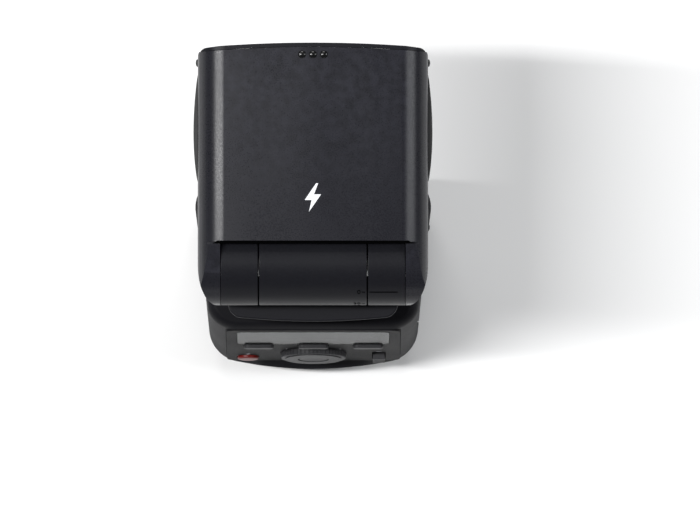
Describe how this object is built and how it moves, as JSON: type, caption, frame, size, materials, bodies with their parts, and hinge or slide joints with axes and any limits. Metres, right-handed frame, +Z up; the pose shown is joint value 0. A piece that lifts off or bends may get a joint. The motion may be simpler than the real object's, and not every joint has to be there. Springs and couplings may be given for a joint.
{
  "type": "speedlight flash",
  "caption": "Compact on-camera flash: a wide bounce head on a swivelling, tilting hinge barrel, over a battery body with rear controls and a locking shoe foot.",
  "frame": {"origin": "middle of the shoe foot's underside, on the swivel axis", "axes": "+Z up from the foot to the head, +Y the way the lens points at rest, +X to the lens's right seen from behind the flash"},
  "size_m": [0.067, 0.092, 0.1156],
  "materials": {
    "casing": "fine matte grain",
    "casing_dark": "matte",
    "panel": "satin",
    "button": "satin",
    "rubber": "ribbed matte",
    "window": "deep red, glossy",
    "lcd_cover": "clear, glossy",
    "lcd": "grey-green display",
    "board": "solder mask",
    "steel": "machined",
    "shoe_metal": "satin plated",
    "contact": "gold plated",
    "cell": "wrapped cell",
    "capacitor": "sleeved",
    "copper": "wound wire and tape",
    "lamp": "translucent red",
    "lens": "ribbed clear plastic",
    "tube": "clear quartz",
    "white_card": "white",
    "diffuser": "ribbed clear plastic",
    "reflector": "polished aluminium",
    "inner": "moulded"
  },
  "bodies": {
    "base": {"front_shell": "casing", "rear_shell": "casing", "rear_panel": "panel", "base_plate": "steel", "swivel_collar": "casing_dark", "body_screws": "steel", "front_window": "window", "receiver_board": "board", "lcd_window": "lcd_cover", "lcd_module": "lcd", "key_board": "board", "main_board": "board", "battery_cage": "inner", "aa_cells": "cell", "battery_contacts": "steel", "main_capacitor": "capacitor", "booster_transformer": "copper", "foot_block": "casing_dark", "shoe_foot": "shoe_metal", "shoe_contacts": "contact", "detent_spring": "steel"},
    "door_carrier": {"door_slider": "inner"},
    "door": {"battery_door": "casing", "door_contacts": "contact"},
    "dial": {"select_dial": "button"},
    "set_key": {"set_button": "button"},
    "mode_key": {"mode_button": "button"},
    "wireless_key": {"wireless_button": "button"},
    "menu_key": {"menu_button": "button"},
    "lamp_key": {"lamp_button": "lamp"},
    "switch": {"power_switch": "button"},
    "lever": {"lock_lever": "casing_dark"},
    "pin": {"lock_pin": "steel"},
    "release": {"lock_release": "button"},
    "neck": {"neck_base": "casing_dark", "neck_column": "casing", "neck_rear_cover": "casing", "swivel_tube": "steel", "swivel_ring": "steel", "tilt_shaft": "steel"},
    "head": {"head_top_cover": "casing", "head_bottom_cover": "casing", "tilt_bracket": "steel", "hinge_cover_left": "casing", "hinge_cover_right": "casing", "side_grip_left": "rubber", "side_grip_right": "rubber", "lens_bezel": "casing_dark", "fresnel_lens": "lens", "panel_guide": "inner", "head_screws": "steel", "zoom_rails": "steel", "zoom_motor": "steel", "trigger_coil": "copper"},
    "catchlight": {"catchlight_panel": "white_card"},
    "wide": {"wide_panel": "diffuser"},
    "screw": {"lead_screw": "steel"},
    "carriage": {"zoom_carriage": "inner", "reflector": "reflector", "flash_tube": "tube"}
  },
  "joints": [
    {"name": "head_swivel", "type": "hinge", "parent": "base", "child": "neck", "pos_m": [0, 0, 0.0717], "axis": [0, 0, 1], "range_deg": [-180, 150]},
    {"name": "head_tilt", "type": "hinge", "parent": "neck", "child": "head", "pos_m": [0, -0.0036, 0.1], "axis": [1, 0, 0], "range_deg": [0, 90]},
    {"name": "catchlight_slide", "type": "slide", "parent": "head", "child": "catchlight", "axis": [0, 1, 0], "range_m": [0, 0.036]},
    {"name": "wide_panel_slide", "type": "slide", "parent": "head", "child": "wide", "axis": [0, 1, 0], "range_m": [0, 0.036]},
    {"name": "zoom_slide", "type": "slide", "parent": "head", "child": "carriage", "axis": [0, -1, 0], "range_m": [0, 0.015]},
    {"name": "lead_screw_spin", "type": "hinge", "parent": "head", "child": "screw", "pos_m": [0.0283, 0.02, 0.1], "axis": [0, 1, 0], "range_deg": [0, 1801]},
    {"name": "battery_door_slide", "type": "slide", "parent": "base", "child": "door_carrier", "axis": [0, 0, -1], "range_m": [0, 0.0025]},
    {"name": "battery_door_swing", "type": "hinge", "parent": "door_carrier", "child": "door", "pos_m": [0.0314, 0.0064, 0.0265], "axis": [0, 0, 1], "range_deg": [0, 100]},
    {"name": "select_dial_turn", "type": "hinge", "parent": "base", "child": "dial", "pos_m": [0, -0.02936, 0.02726], "axis": [0, -0.9873, 0.1591], "continuous": true},
    {"name": "set_press", "type": "slide", "parent": "base", "child": "set_key", "axis": [0, 0.9873, -0.1591], "range_m": [0, 0.0004], "stiffness_N_per_m": 300, "springref_m": -0.002},
    {"name": "mode_press", "type": "slide", "parent": "base", "child": "mode_key", "axis": [0, 0.9873, -0.1591], "range_m": [0, 0.0008], "stiffness_N_per_m": 300, "springref_m": -0.002},
    {"name": "wireless_press", "type": "slide", "parent": "base", "child": "wireless_key", "axis": [0, 0.9873, -0.1591], "range_m": [0, 0.0008], "stiffness_N_per_m": 300, "springref_m": -0.002},
    {"name": "menu_press", "type": "slide", "parent": "base", "child": "menu_key", "axis": [0, 0.9873, -0.1591], "range_m": [0, 0.0008], "stiffness_N_per_m": 300, "springref_m": -0.002},
    {"name": "lamp_press", "type": "slide", "parent": "base", "child": "lamp_key", "axis": [0, 0.9873, -0.1591], "range_m": [0, 0.0008], "stiffness_N_per_m": 300, "springref_m": -0.002},
    {"name": "power_switch_slide", "type": "slide", "parent": "base", "child": "switch", "axis": [0, 0.1591, 0.9873], "range_m": [0, 0.005]},
    {"name": "lock_lever_turn", "type": "hinge", "parent": "base", "child": "lever", "pos_m": [0, 0, 0.0055], "axis": [0, 0, 1], "range_deg": [0, 50]},
    {"name": "lock_pin_drop", "type": "slide", "parent": "base", "child": "pin", "axis": [0, 0, -1], "range_m": [0, 0.0014]},
    {"name": "lock_release_press", "type": "slide", "parent": "base", "child": "release", "axis": [1, 0, 0], "range_m": [0, 0.0012], "stiffness_N_per_m": 300, "springref_m": -0.002}
  ],
  "couplings": [
    {"joint": "lead_screw_spin", "follows": "zoom_slide", "rad_per_m": 2094.4},
    {"joint": "lock_pin_drop", "follows": "lock_lever_turn", "m_per_rad": 0.0016}
  ]
}
